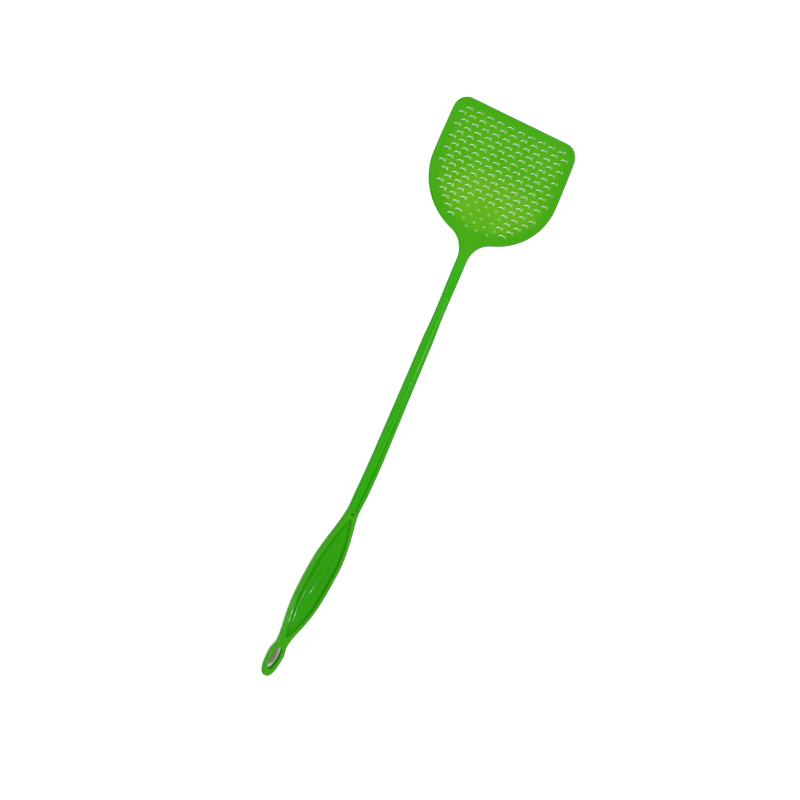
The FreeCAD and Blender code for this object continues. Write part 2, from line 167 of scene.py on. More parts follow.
class GripSizes(bpy.types.PropertyGroup):
    """Leaf shaped grip with its fluted panel, and the loop behind it."""
    __annotations__ = lengths(
        length=(117.0, "From the shaft to the waist"),
        narrow_width=(9.3, "Width where the grip starts"),
        widest=(51.0, "Distance from the shaft to the widest place"),
        width=(22.8, "Width at the widest place"),
        thickness=(7.8, "Thickness at the widest place"),
        waist_width=(9.6, "Width between grip and loop"),
        waist_thickness=(6.0, "Thickness of the waist and of the loop"),
        rim_width=(3.1, "Width of the bead round the panel"),
        rim_rounding=(1.5, "Rounding of the inner edge of the bead"),
        panel_edge=(3.0, "Thickness of the panel at its edge"),
        panel_middle=(5.4, "Thickness of the panel in the middle"),
        moat_width=(3.4, "Width of the hollow between panel and bead"),
        moat_depth=(0.5, "Depth of that hollow"),
        rib_pitch=(4.9, "Distance between the ribs"),
        rib_length=(50.0, "Length of the middle rib"),
        rib_width=(4.9, "Width of a rib"),
        rib_height=(0.5, "How far the middle rib stands up"),
        loop_length=(27.8, "From the waist to the end"),
        loop_width=(12.6, "Width of the loop"),
        loop_wall=(3.4, "Width of the loop beside the eye"),
        loop_end_wall=(6.0, "Width of the loop behind the eye"))


class Finish(bpy.types.PropertyGroup):
    """Colours of the plastic."""
    __annotations__ = colours(
        border=((0.061, 0.430, 0.004), "Green of the border"),
        web=((0.087, 0.460, 0.004), "Green of the thin web, where more light comes through"),
        # painted glow: a lighter, yellower green painted on the web near the neck, standing in for
        # the soft light that the web catches there
        glow=((0.138, 0.495, 0.010), "Green of the web near the neck"),
        # painted light: the walls of the openings get a lighter green that stands in for light
        # coming through the thin plastic
        opening=((0.42, 0.85, 0.22), "Green of the thin walls of the openings, lit through"),
        handle=((0.036, 0.450, 0.004), "Green of the neck and the shaft"),
        grip=((0.037, 0.415, 0.005), "Green of the grip's panel"),
        bead=((0.058, 0.455, 0.008), "Green of the grip's rim and the loop"),
        # painted shade: a darker green painted where the channel ends, standing in for the shade in
        # its steep end
        deep=((0.003, 0.190, 0.001), "Green where the channel ends"),
        # painted shade: the darker green painted in the hollow along the rim and between the ribs
        # of the panel
        hollow=((0.020, 0.350, 0.002), "Deeper green of the hollows of the panel"),
    ) | {
        "roughness": FloatProperty(name="Roughness", default=0.22, min=0.0, max=1.0,
                                   subtype="FACTOR", description="Of the moulded surface"),
    }


class StageSettings(bpy.types.PropertyGroup):
    """Camera of the stage."""
    __annotations__ = lengths(
        distance=(1495.6, "From the camera to the middle of the swatter"),
    ) | {
        "lens": FloatProperty(name="Focal length", default=93.7, min=1.0,
                              description="In millimetres"),
        "tilt": FloatProperty(name="Tilt", default=math.radians(20.0), subtype="ANGLE",
                              description="How far the view leans to the side of the blade"),
        "roll": FloatProperty(name="Roll", default=math.radians(22.97), subtype="ANGLE",
                              description="Turn of the camera about the view"),
    }


GROUPS = {"blade": BladeSizes, "openings": OpeningSizes, "handle": HandleSizes, "grip": GripSizes,
          "finish": Finish, "stage": StageSettings}


class SwatterSettings(bpy.types.PropertyGroup):
    """All settings of the swatter."""
    __annotations__ = {key: PointerProperty(type=group, name=spoken(key), description=group.__doc__)
                       for key, group in GROUPS.items()}


# ---- form ----
SIDE_POINTS = (14, 8, 22, 26)       # on half the tip, the corner, the side and the shoulder
FINE_SIDE_POINTS = (60, 24, 120, 160)   # the same, where distances are taken from the outline
LEAST_TOUCH_ANGLE = 0.3     # the throat's circle touches the shoulder's ellipse past this angle
TOUCH_STEPS = 200001
LEAST_CORNER = 0.1 * MM     # a corner keeps this radius when an inset would leave less
TIP_BULGE = 0.75            # share of the bulge of the blade's sides half way along them
FRONT_FULLNESS = 0.78       # under 1, the grip widens early
BACK_FULLNESS = 1.95        # over 1, the grip narrows late
THIN_DISTANCE = 15.0 * MM   # from the start of the shaft to where it is thinnest
FULL_DISTANCE = 42.0 * MM   # from the start of the shaft to where it has its full width
END_LEAD = 15.0 * MM        # the shaft has its end width this far before the grip
BEND_LEAD = 47.5 * MM       # the bend starts this far before the grip
PANEL_LEAD = 7.0 * MM       # the panel stays this far from both ends of the grip
CORNER_SHARE = 0.6          # corner radius of a handle section, as a share of its half thickness
CORNER_WIDTH_SHARE = 0.9    # and the most that it takes of the half width
CORNER_POWER = 2.6          # 2 makes the corner a quarter of an oval, more makes it fuller
LEAF_LEAN = 0.8 * MM        # the middle of the grip lies this far to the right


def joined(*parts):
    return np.concatenate(parts)


def stack(*parts):
    """One array of points from arrays of their parts."""
    return np.stack(np.broadcast_arrays(*parts), -1)


def quarter_turn(count):
    return np.linspace(0, math.pi / 2, count)


def eased(a, b, share, power=1.0):
    """From a to b with level ends: a + (b - a)(3t^2 - 2t^3), where t is the share to a power."""
    t = np.clip(share, 0.0, 1.0) ** power
    return a + (b - a) * t * t * (3 - 2 * t)


def law(at, *stations):
    """Value at a station, eased between entries of station, value and perhaps a power."""
    at = np.asarray(at, float)
    value = np.full(at.shape, stations[0][1])
    for (s0, v0, *_), (s1, v1, *power) in zip(stations, stations[1:]):
        value = np.where(at >= s0, eased(v0, v1, (at - s0) / (s1 - s0), *power), value)
    return value


def soft_min(a, b, blend):
    """The lesser of a and b, with the crease between them rounded over a width."""
    h = np.clip(blend - np.abs(a - b), 0, None) / blend
    return np.minimum(a, b) - h * h * blend / 4


def turned(y, z, angle):
    """Distances along and up, turned about the axis across."""
    c, s = math.cos(angle), math.sin(angle)
    return c * y - s * z, s * y + c * z


def arc(centre, radius, start, end, count):
    """Points of a circle's arc, without its last."""
    angle = np.linspace(start, end, count, endpoint=False)
    return centre + radius * stack(np.cos(angle), np.sin(angle))


def circle_centre(a, b, c):
    """Centre of the circle through three points of the plane."""
    d = 2 * (a[0] * (b[1] - c[1]) + b[0] * (c[1] - a[1]) + c[0] * (a[1] - b[1]))
    sums = np.array([a @ a, b @ b, c @ c])
    return np.array([sums @ [b[1] - c[1], c[1] - a[1], a[1] - b[1]],
                     sums @ [c[0] - b[0], a[0] - c[0], b[0] - a[0]]]) / d


class Form:
    """Stations and laws of the swatter, worked out from the settings.

    A station is a distance along the centre line from the tip of the blade."""

    def __init__(self, settings):
        b, h, g = self.b, self.h, self.g = settings.blade, settings.handle, settings.grip
        self.o = settings.openings
        self.solve_throat()
        self.neck_at = self.throat[1] - h.neck_lead
        self.shaft_at = self.neck_at + h.neck_length
        self.grip_at = self.shaft_at + h.shaft_length
        self.bend_at = self.grip_at - BEND_LEAD
        self.widest_at = self.grip_at + g.widest
        self.waist_at = self.grip_at + g.length
        self.panel_at = self.grip_at + PANEL_LEAD
        self.panel_end_at = self.waist_at - PANEL_LEAD
        self.end_at = self.waist_at + g.loop_length
        self.turn, self.shift = self.resting_place()

    def solve_throat(self):
        """Centre of the circle that touches the shoulder's ellipse and the neck, and where it
        touches the ellipse: its height, the ellipse's angle and the outward direction there."""
        b = self.b
        half, reach = b.width / 2, b.shoulder_length
        angle = np.linspace(LEAST_TOUCH_ANGLE, math.pi / 2, TOUCH_STEPS)
        point = stack(half * np.cos(angle), reach * np.sin(angle))
        normal = point / [half ** 2, reach ** 2]
        normal = normal / np.hypot(*normal.T)[:, None]
        centre = point + normal * b.throat_radius
        best = np.argmin(np.abs(centre[:, 0] - self.h.neck_width / 2 - b.throat_radius))
        self.throat = float(centre[best, 0]), float(b.shoulder_at + centre[best, 1])
        self.touch_at = float(b.shoulder_at + point[best, 1])
        self.touch_angle, self.touch_normal = float(angle[best]), float(normal[best, 1])

    def half_width(self, at):
        """Half width of neck, shaft and grip: the throat's circle, then eased between widths."""
        b, h, g, end = self.b, self.h, self.g, self.throat[1]
        width = law(at, (end, h.neck_width), (self.shaft_at + THIN_DISTANCE, h.thin_width),
                    (self.shaft_at + FULL_DISTANCE, h.full_width),
                    (self.grip_at - END_LEAD, h.end_width), (self.grip_at, g.narrow_width),
                    (self.widest_at, g.width, FRONT_FULLNESS),
                    (self.waist_at, g.waist_width, BACK_FULLNESS))
        rise = np.clip(end - at, 0, b.throat_radius)
        return width / 2 + b.throat_radius - np.sqrt(b.throat_radius ** 2 - rise ** 2)

    def half_thickness(self, at):
        b, h, g = self.b, self.h, self.g
        return law(at, (self.neck_at, b.border_thickness), (self.shaft_at, h.neck_end_thickness),
                   (self.grip_at, h.grip_end_thickness),
                   (self.widest_at, g.thickness, FRONT_FULLNESS),
                   (self.waist_at, g.waist_thickness)) / 2

    def corner_radius(self, at):
        """Corner radius of a section: a share of the half thickness that eases along the neck."""
        neck_share = self.b.edge_radius / (self.b.border_thickness / 2)
        share = eased(neck_share, CORNER_SHARE, (at - self.neck_at) / self.h.neck_length)
        return np.minimum(share * self.half_thickness(at), CORNER_WIDTH_SHARE * self.half_width(at))

    def centre_line(self, at):
        """Place (y, z) and turn of the centre line: straight, round the bend, straight again."""
        radius, angle = self.h.bend_radius, self.h.bend_angle
        turn = np.clip(at - self.bend_at, 0, radius * angle) / radius
        beyond = np.clip(at - (self.bend_at + radius * angle), 0, None)
        y = -np.minimum(at, self.bend_at) - radius * np.sin(turn) - beyond * np.cos(turn)
        z = -radius * (1 - np.cos(turn)) - beyond * np.sin(turn)
        return y, z, turn

    def bent(self, x, at, z):
        """Points at x across and z out of the centre line at a station, before it is laid down.

        The leaf of the grip is set off to one side by lean (1 - s^4)^2, with s from -1 to 1."""
        y0, z0, turn = self.centre_line(at)
        share = np.clip(2 * (at - self.grip_at) / self.g.length - 1, -1, 1)
        return x + LEAF_LEAN * (1 - share ** 4) ** 2, y0 - z * np.sin(turn), z0 + z * np.cos(turn)

    def resting_place(self):
        """Turn about X and shift that bring the rounded edges of tip and loop down to z = 0."""
        tip_radius, end_radius = self.b.edge_radius, float(self.corner_radius(self.waist_at))
        tip = np.array([-tip_radius, tip_radius - self.b.border_thickness / 2])
        y0, z0, turn = self.centre_line(self.end_at)
        end = np.array([y0, z0]) + turned(end_radius, end_radius - self.g.waist_thickness / 2, turn)
        span = tip - end
        lean = math.asin((tip_radius - end_radius) / math.hypot(*span))
        angle = lean - math.atan2(span[1], span[0])
        front, low = turned(*tip, angle)
        back = turned(*end, angle)[0]
        return angle, (-(front + tip_radius + back - end_radius) / 2, tip_radius - low)

    def laid(self, x, at, z):
        """Points of the swatter as it lies, shape (..., 3), from x across, station and z out."""
        x, y, z = self.bent(x, at, z)
        y, z = turned(y, z, self.turn)
        return stack(x, y + self.shift[0], z + self.shift[1])

    def spot(self, at, x=0.0, z=0.0):
        """One point of the swatter as it lies."""
        return Vector(self.laid(x, at, z))

    def direction(self, x, y, z):
        """A direction given in the blade's own axes, as it is when the swatter lies."""
        return Vector((x, *turned(y, z, self.turn)))

    def blade_side(self, inset, end_angle, counts=SIDE_POINTS):
        """Half outline, (x, station) rows, from the middle of the tip round to the shoulder.

        Brought in by an inset it keeps as many points on the tip, the corner's arc, the side's arc
        and the ellipse of the shoulder, so that insets pair up point by point."""
        b = self.b
        half, half_tip = b.width / 2 - inset, (b.width - b.tip_narrowing) / 2 - inset
        end = b.shoulder_at
        bulge = np.array([half_tip + (half - half_tip) * TIP_BULGE, (inset + end) / 2])
        centre = circle_centre(np.array([half_tip, inset]), bulge, np.array([half, end]))
        radius = math.hypot(half - centre[0], end - centre[1])
        r = max(b.corner_radius - inset, LEAST_CORNER)
        corner_x = centre[0] + math.sqrt((radius - r) ** 2 - (inset + r - centre[1]) ** 2)
        middle = np.array([corner_x, inset + r])
        join = math.atan2(*(middle - centre)[::-1])
        tip = np.linspace([0, inset], [corner_x, inset], counts[0], endpoint=False)
        bend = arc(middle, r, -math.pi / 2, join, counts[1])
        side = arc(centre, radius, join, math.atan2(end - centre[1], half - centre[0]), counts[2])
        return joined(tip, bend, side, self.shoulder(inset, np.linspace(0, end_angle, counts[3])))

    def shoulder(self, inset, angle):
        """Points of the shoulder's ellipse, brought in by an inset."""
        b = self.b
        return stack((b.width / 2 - inset) * np.cos(angle),
                     b.shoulder_at + (b.shoulder_length - inset) * np.sin(angle))


# ---- meshes ----
SHARP_ANGLE = 38.0          # edges that turn by more degrees than this are drawn sharp
WEB_SHARP_ANGLE = 30.0
WELD = 2e-6                 # points nearer than this become one
WELD_DIGITS = 7             # digits after the point by which points are told apart
NO_LENGTH = 1e-7            # edges shorter than this are dissolved


def grid_faces(rows, columns, start=0):
    """Quads of a grid of points, numbered row by row."""
    index = start + np.arange(rows * columns).reshape(rows, columns)
    quads = np.stack([index[:-1, :-1], index[1:, :-1], index[1:, 1:], index[:-1, 1:]], -1)
    return quads.reshape(-1, 4)


def put_mesh(name, points, faces, sharp_angle=SHARP_ANGLE, tone_and_painted_shade=None, walls=None):
    """Object from an array of points and one of quads: doubles merged, faces outward, smooth.

    A share for each point may be kept with it, as the attribute that its plastic reads. Faces for
    which walls holds take the second material."""
    used, faces = np.unique(faces, return_inverse=True)
    faces = faces.reshape(-1, 4).astype(np.int32)
    mesh = bpy.data.meshes.new(name)
    mesh.vertices.add(len(used))
    mesh.vertices.foreach_set("co", np.asarray(points, np.float32)[used].ravel())
    mesh.loops.add(faces.size)
    mesh.loops.foreach_set("vertex_index", faces.ravel())
    mesh.polygons.add(len(faces))
    mesh.polygons.foreach_set("loop_start", np.arange(0, faces.size, 4, dtype=np.int32))
    if walls is not None:
        mesh.polygons.foreach_set("material_index", walls.astype(np.int32))
    mesh.update(calc_edges=True)
    if tone_and_painted_shade is not None:
        layer = mesh.attributes.new("tone_and_painted_shade", "FLOAT", "POINT")
        layer.data.foreach_set("value", np.asarray(tone_and_painted_shade, np.float32)[used])
    work = bmesh.new()
    work.from_mesh(mesh)
    bmesh.ops.remove_doubles(work, verts=work.verts, dist=WELD)
    bmesh.ops.dissolve_degenerate(work, edges=work.edges, dist=NO_LENGTH)
    bmesh.ops.recalc_face_normals(work, faces=work.faces)
    work.to_mesh(mesh)
    work.free()
    mesh.update()
    mesh.polygons.foreach_set("use_smooth", np.ones(len(mesh.polygons), bool))
    mesh.set_sharp_from_angle(angle=math.radians(sharp_angle))
    mesh.validate()
    return put_object(name, mesh)


def put_object(name, data):
    """New object in the scene."""
    item = bpy.data.objects.new(name, data)
    bpy.context.scene.collection.objects.link(item)
    return item


def put_quarters(name, form, patches, tone_and_painted_shade=None):
    """Object from grids of (x, station, z) that cover the quarter with x and z above 0.

    Each grid is mirrored across, then through, and the four are laid in the swatter's place. The
    shares kept with the points, if any, come from a function of form, x and station."""
    points, faces, shares, start = [], [], [], 0
    for patch in patches:
        x, at, z = np.moveaxis(patch, -1, 0)
        if tone_and_painted_shade:
            shares.append(np.tile(tone_and_painted_shade(form, x, at).ravel(), 4))
        for sx, sz in ((1, 1), (1, -1), (-1, 1), (-1, -1)):
            points.append(form.laid(x * sx, at, z * sz).reshape(-1, 3))
            faces.append(grid_faces(*x.shape, start))
            start += x.size
    kept = joined(*shares) if tone_and_painted_shade else None
    return put_mesh(name, joined(*points), joined(*faces), tone_and_painted_shade=kept)


def raised(line, z):
    """Points of a flat line of (x, station), at a height."""
    return stack(line[:, 0], line[:, 1], z)


def down_to_middle(top):
    """Grid of two rows from a line of (x, station, z) straight down to z = 0."""
    return np.stack([top, top * [1, 1, 0]])


def with_ends(section):
    """A grid of sections, and the flat cuts that close its first and its last."""
    return [section, down_to_middle(section[0]), down_to_middle(section[-1])]


def corner(angle):
    """Shares out and up along a corner, sin^q and cos^q of the angle with q = 2 / power."""
    return np.clip([np.sin(angle), np.cos(angle)], 0, 1) ** (2 / CORNER_POWER)


def quarter_section(form, at, arc_points=9, flat_points=7):
    """Quarter outlines of the handle's sections at stations, from the face's middle to the side.

    Across the flat to the corner, then down the side on a quarter of a full oval to 0."""
    at = at[:, None]
    w, h, r = form.half_width(at), form.half_thickness(at), form.corner_radius(at)
    flat = np.linspace(0, 1, flat_points, endpoint=False)[None]
    out, up = corner(quarter_turn(arc_points)[None])
    return stack(np.concatenate([(w - r) * flat, w - r + r * out], 1), at,
                 np.concatenate([h + 0 * flat, h * up], 1))


def ride(piece, body, slot, material, *nodes):
    """Put a piece on its body, in the place of its frame nodes, with its material; the slot is not
    used.
    """
    piece.data.materials.append(material)
    if body:
        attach(piece, body)
    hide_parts(*nodes)


# ---- materials ----
FLOW_SCALE = (60, 14, 60)   # waves of tone in a metre: longer along the swatter than across
TONE_DRIFT = 0.12           # how much the tone's value drifts
ROUGHNESS_DRIFT = 0.25      # how much of that drift the roughness takes
PEEL_SCALE = 420.0          # bumps of the orange-peel in a metre
PEEL_STRENGTH, PEEL_DEPTH = 0.08, 0.2 * MM
SPOT_CORE = 0.15            # share of a soft oval's reach over which its mask is full
PLASTIC_IOR = 1.49
PLASTIC_GLOSS = 0.15        # specular level of the skin; the openings' walls have none
SLEEK = 0.15                # roughness of the grip's rim and the loop
PANEL_SLEEK = 0.10          # roughness of the panel


def node(tree, kind, inputs=None, **settings):
    """New shader node with its settings and inputs."""
    made = tree.nodes.new("ShaderNode" + kind)
    for key, value in settings.items():
        setattr(made, key, value)
    feed(tree, made, inputs or {})
    return made


def feed(tree, taker, inputs):
    """Fill a node's inputs, named or numbered, with a value or from another node's output."""
    for key, value in inputs.items():
        if isinstance(value, bpy.types.NodeSocket):
            tree.links.new(value, taker.inputs[key])
        else:
            taker.inputs[key].default_value = value


def maths(tree, operation, *inputs, **settings):
    """Output of a Math node."""
    return node(tree, "Math", dict(enumerate(inputs)), operation=operation, **settings).outputs[0]


def blended(tree, share, low, high):
    """Colour that goes from low to high with a share."""
    return node(tree, "Mix", {"Factor": share, 6: low, 7: high}, data_type="RGBA").outputs[2]


def place_group(tree, name, inputs):
    """Node that stands for a shared group."""
    return node(tree, "Group", inputs, node_tree=bpy.data.node_groups[name])


def group_tree(name, inputs, outputs):
    """New shader node group, its (name, kind, default) inputs and its (name, kind) outputs."""
    tree = bpy.data.node_groups.new(name, "ShaderNodeTree")
    for label, kind, default in inputs:
        socket = tree.interface.new_socket(label, in_out="INPUT", socket_type="NodeSocket" + kind)
        socket.default_value = default
    for label, kind in outputs:
        tree.interface.new_socket(label, in_out="OUTPUT", socket_type="NodeSocket" + kind)
    return tree, tree.nodes.new("NodeGroupInput").outputs, tree.nodes.new("NodeGroupOutput")


def moulding_group():
    """Shared effect: slow drifts of tone along the flow of the plastic, and a faint orange-peel."""
    tree, given, result = group_tree("moulded_surface", [
        ("Vector", "Vector", (0, 0, 0)), ("Base", "Color", (0.05, 0.4, 0.01, 1)),
        ("Drift", "Float", 0.1), ("Roughness", "Float", 0.3),
    ], [("Color", "Color"), ("Roughness", "Float"), ("Height", "Float")])
    flow = node(tree, "Mapping", {"Vector": given["Vector"], "Scale": FLOW_SCALE}).outputs[0]
    waves = node(tree, "TexNoise", {"Vector": flow, "Scale": 1.0, "Detail": 3.0, "Roughness": 0.55})
    centred = maths(tree, "SUBTRACT", waves.outputs["Fac"], 0.5)
    value = maths(tree, "MULTIPLY_ADD", centred, given["Drift"], 1.0)
    tone = node(tree, "HueSaturation", {"Value": value, "Color": given["Base"]})
    matt = maths(tree, "MULTIPLY_ADD", centred, ROUGHNESS_DRIFT, given["Roughness"])
    peel = node(tree, "TexNoise", {"Vector": given["Vector"], "Scale": PEEL_SCALE, "Detail": 2.0})
    feed(tree, result, {"Color": tone.outputs[0], "Roughness": matt, "Height": peel.outputs["Fac"]})


def spot_group():
    """Shared effect: a soft oval mask round a centre, 1 in its core and 0 past its reach."""
    tree, given, result = group_tree("soft_oval", [
        ("Vector", "Vector", (0, 0, 0)), ("Centre", "Vector", (0, 0, 0)),
        ("Reach", "Vector", (1, 1, 1)),
    ], [("Mask", "Float")])
    off = node(tree, "VectorMath", {0: given["Vector"], 1: given["Centre"]}, operation="SUBTRACT")
    share = node(tree, "VectorMath", {0: off.outputs[0], 1: given["Reach"]}, operation="DIVIDE")
    size = node(tree, "VectorMath", {0: share.outputs[0]}, operation="LENGTH")
    fade = node(tree, "MapRange", {"Value": size.outputs["Value"], "From Min": SPOT_CORE,
                                   "From Max": 1.0, "To Min": 1.0, "To Max": 0.0},
                interpolation_type="SMOOTHERSTEP")
    feed(tree, result, {"Mask": fade.outputs[0]})


def new_material(name):
    """New material, its node tree and its Principled BSDF."""
    material = bpy.data.materials.new(name)
    material.use_nodes = True
    return material, material.node_tree, material.node_tree.nodes["Principled BSDF"]


def soft_oval(tree, where, centre, reach):
    """Mask of a soft oval round a centre."""
    inputs = {"Vector": where, "Centre": centre, "Reach": reach}
    return place_group(tree, "soft_oval", inputs).outputs["Mask"]


def plastic(name, finish, base, glow=None, edge=None, roughness=None, gloss=PLASTIC_GLOSS):
    """Glossy moulded plastic.

    Glow is (colour, centre, reach) of a soft oval of another green: a painted glow on the web near
    the neck, painted shade where the channel ends, and the border's own green on the neck. Edge is
    the green where the piece's attribute is 0: the border's own green round the web, and painted
    shade in the hollows of the panel. Either may be None."""
    material, tree, shader = new_material(name)
    where = node(tree, "TexCoord").outputs["Object"]
    tone = (*base, 1)
    if glow:
        tint, centre, reach = glow
        tone = blended(tree, soft_oval(tree, where, centre, reach), tone, (*tint, 1))
    if edge:
        tone_and_painted_shade = node(tree, "Attribute", attribute_name="tone_and_painted_shade")
        tone = blended(tree, tone_and_painted_shade.outputs["Fac"], (*edge, 1), tone)
    surface = place_group(tree, "moulded_surface", {
        "Vector": where, "Base": tone, "Drift": TONE_DRIFT,
        "Roughness": roughness or finish.roughness}).outputs
    bump = node(tree, "Bump", {"Strength": PEEL_STRENGTH, "Distance": PEEL_DEPTH,
                               "Height": surface["Height"]})
    feed(tree, shader, {"Base Color": surface["Color"], "Roughness": surface["Roughness"],
                        "Normal": bump.outputs["Normal"], "IOR": PLASTIC_IOR,
                        "Specular IOR Level": gloss})
    return material


# ---- pieces ----
EDGE_POINTS = 8             # round the border's outer edge
GUSSET_POINTS = 26          # down the gusset from the shoulder to the neck
CUT_POINTS = 8              # across half of the cut where two pieces meet
SLOPE_ROWS = 8              # down the slope from the border to the web
SLOPE_SUNK = 0.02 * MM      # the slope ends this far under the web's face
WALL_ROW_HEIGHT = 0.4 * MM  # of the row down the border's inner wall, hidden in the web
SPOKES = 12                 # points in each ring of a cell of the web
MOST_COLUMNS = 14           # half pitches to each side of the middle: past the border
BLIND_SHARES = (0.66, 0.33, 0)      # sizes of the ovals in a blind place, as shares of the foot's
WEB_TUCK = 1.5 * MM         # how far the web runs on under the border
CHANNEL_FADE = 0.65 * MM    # the channel is this much shallower at the neck
CHANNEL_BLEND = 0.6 * MM    # width over which the channel's edge is rounded
CHANNEL_END_STEEPNESS = 2.0     # 1 makes the ends of the channel as steep as its sides
PANEL_LEAST_SHARE = 0.35    # of the grip's width, where its rim would leave the panel less
PANEL_POINT_POWER = 6       # the higher, the blunter the two ends of the panel
PANEL_CAMBER = 0.5 * MM     # fall of the face at half the grip's length from the widest place
PANEL_SUNK = 0.15 * MM      # the panel lies at least this far under the skin of the rim
PANEL_TUCK = 0.25 * MM      # the panel's edge lies this far inside the rim
PANEL_ROWS, PANEL_COLUMNS = 150, 60
FORE_ROWS, AFT_ROWS = 36, 8     # rows of the grip's rim before the panel and behind it
FLOOR_POINTS, LIP_POINTS, FLAT_POINTS, SIDE_ARC_POINTS = 5, 9, 4, 12    # across the rim
SIDE_RIB_SHARE = 0.70       # height of the side ribs, as a share of the middle one's
RIB_TAPER_STEP = 4.0 * MM   # the side ribs are this much shorter
RIB_SHIFT = 3.0 * MM        # the ribs are centred this far behind the widest place
# painted shade: a darker green painted between the ribs, where shade falls in the grooves
GROOVE_SHADE = 0.6          # how much of the darker green shows between the ribs
WELL_FLOOR = 0.6 * MM       # height of the floor of the panel's well
WELL_LEAST = 0.05 * MM      # half width under which there is no well
BEAD_SHARE = 0.45           # the most of the rim's width that the rounding of its edge takes
LEAST_BEAD = 0.2 * MM       # rounding of the rim's inner edge where there is no well
LIP_SUNK = 0.1 * MM         # the rim's inner edge starts this far under the panel
LOOP_WIDEST = 8.5 * MM      # from the waist to the loop's widest place
LOOP_EDGE_RADIUS = 1.8 * MM
LOOP_SHY = 0.03 * MM        # keeps the full corner of the loop above the table
EYE_LEAD = 2.0 * MM         # the eye starts this far behind the waist
EYE_EDGE_RADIUS = 0.9 * MM
LOOP_SIDE_POINTS, LOOP_END_POINTS = 18, 26      # along half the loop
LOOP_EDGE_ROWS, EYE_EDGE_ROWS = 9, 6


def border_patches(form):
    """Quarter of the border: rounded outer edge, flat top, slope to the web, and the neck's cut.

    Rows are insets of the blade's outline. Below the shoulder the rounded edge follows the throat's
    circle, while the slope stays on the ellipse round the web, and the flat spans between them."""
    b = form.b
    half, r, angle = b.border_thickness / 2, b.edge_radius, quarter_turn(EDGE_POINTS)
    edge = []
    insets = joined([0], r * (1 - np.cos(angle)))
    for d, z in zip(insets, joined([0], half - r + r * np.sin(angle))):
        at = np.linspace(form.touch_at - form.touch_normal * d, form.neck_at, GUSSET_POINTS)[1:]
        x = form.throat[0] - np.sqrt((b.throat_radius + d) ** 2 - (form.throat[1] - at) ** 2)
        edge.append(raised(joined(form.blade_side(d, form.touch_angle), stack(x, at)), z))
    edge = np.stack(edge)
    cut = np.linspace(edge[-1, -1], [0, form.neck_at, half], CUT_POINTS)
    rows = [joined(edge[-1], cut[1:])]
    lower = GUSSET_POINTS + CUT_POINTS - 1
    turn = joined(np.linspace(0, form.touch_angle, SIDE_POINTS[-1]),
                  np.linspace(form.touch_angle, math.pi / 2, lower)[1:])
    share = np.linspace(0, 1, SLOPE_ROWS)
    height = eased(half, b.web_thickness / 2 + b.dish_depth - SLOPE_SUNK, share)
    for d, z in zip(b.border_width - b.cove_width * (1 - share), height):
        side = form.blade_side(d, 0.0)[:-SIDE_POINTS[-1]]
        rows.append(raised(joined(side, form.shoulder(d, turn)), z))
    rows += [raised(rows[-1], z) for z in (WALL_ROW_HEIGHT, 0)]
    return [edge, np.stack(rows), down_to_middle(joined(cut[::-1][:-1], edge[::-1, -1]))]


def lattice(form):
    """Cells of the web: centres, whether each holds a place, and whether that place is blind.

    Places stand in staggered rows, half a pitch apart from row to row, wherever they keep their
    margin from the border."""
    o, b = form.o, form.b
    last = int((b.shoulder_at + b.shoulder_length) / o.spacing) + 2
    row, column = np.mgrid[-2:last, -MOST_COLUMNS:MOST_COLUMNS + 1].reshape(2, -1)
    keep = (row + column) % 2 == 1
    row, column = row[keep], column[keep]
    centre = stack(column * o.pitch / 2, o.first_row_at + row * o.spacing)
    inside, distance, _ = against(web_outline(form, b.border_width), centre)
    place = inside & (distance >= o.margin) & (row >= 0)
    blind = place & (row >= o.blind_from_row) & (np.abs(column) <= o.blind_columns)
    return centre, place, blind


def web_outline(form, inset):
    """Closed outline of the blade, brought in by an inset and mirrored to the left."""
    half = form.blade_side(inset, math.pi / 2, FINE_SIDE_POINTS)
    return joined(half, half[-2:0:-1] * [-1, 1])


def against(outline, points):
    """For each point: whether it is inside a closed outline, how far off, and the nearest point."""
    square = ((points[:, None] - outline[None]) ** 2).sum(-1)
    near = square.argmin(1)
    along = outline[(near + 1) % len(outline)] - outline[near - 1]
    off = points - outline[near]
    return along[:, 0] * off[:, 1] > along[:, 1] * off[:, 0], np.sqrt(square.min(1)), outline[near]


def cell_frame(form):
    """Twelve points round a cell's edge and, spoke by spoke, round a crescent and a boss's foot."""
    o = form.o
    edge = np.array([(-2, 0), (-2, -1), (-1, -1), (0, -1), (1, -1), (2, -1), (2, 0), (2, 1), (1, 1),
                     (0, 1), (-1, 1), (-2, 1)]) * [o.pitch / 4, o.spacing / 2]
    share = np.linspace(-1, 1, SPOKES // 2)
    bulge = 1 - share ** 2
    end = o.hollow / 2 - o.lead
    outer = stack(share * o.width / 2, end - o.arch * bulge)
    inner = stack(share * o.width / 2, end + o.tip_width - o.hollow * bulge)
    turn = math.pi + (np.arange(SPOKES) + 0.5) * 2 * math.pi / SPOKES
    foot = stack(o.foot_width / 2 * np.cos(turn), o.boss_depth / 2 * np.sin(turn))
    return edge, joined(outer, inner[::-1]), foot


def boss(form, offset):
    """Height of the low round boss at offsets from a place: a dome that falls to 0 at its foot."""
    share = (2 * offset / [form.o.boss_width, form.o.boss_depth]) ** 2
    return form.o.boss_height * np.clip(1 - share.sum(-1), 0, 1)


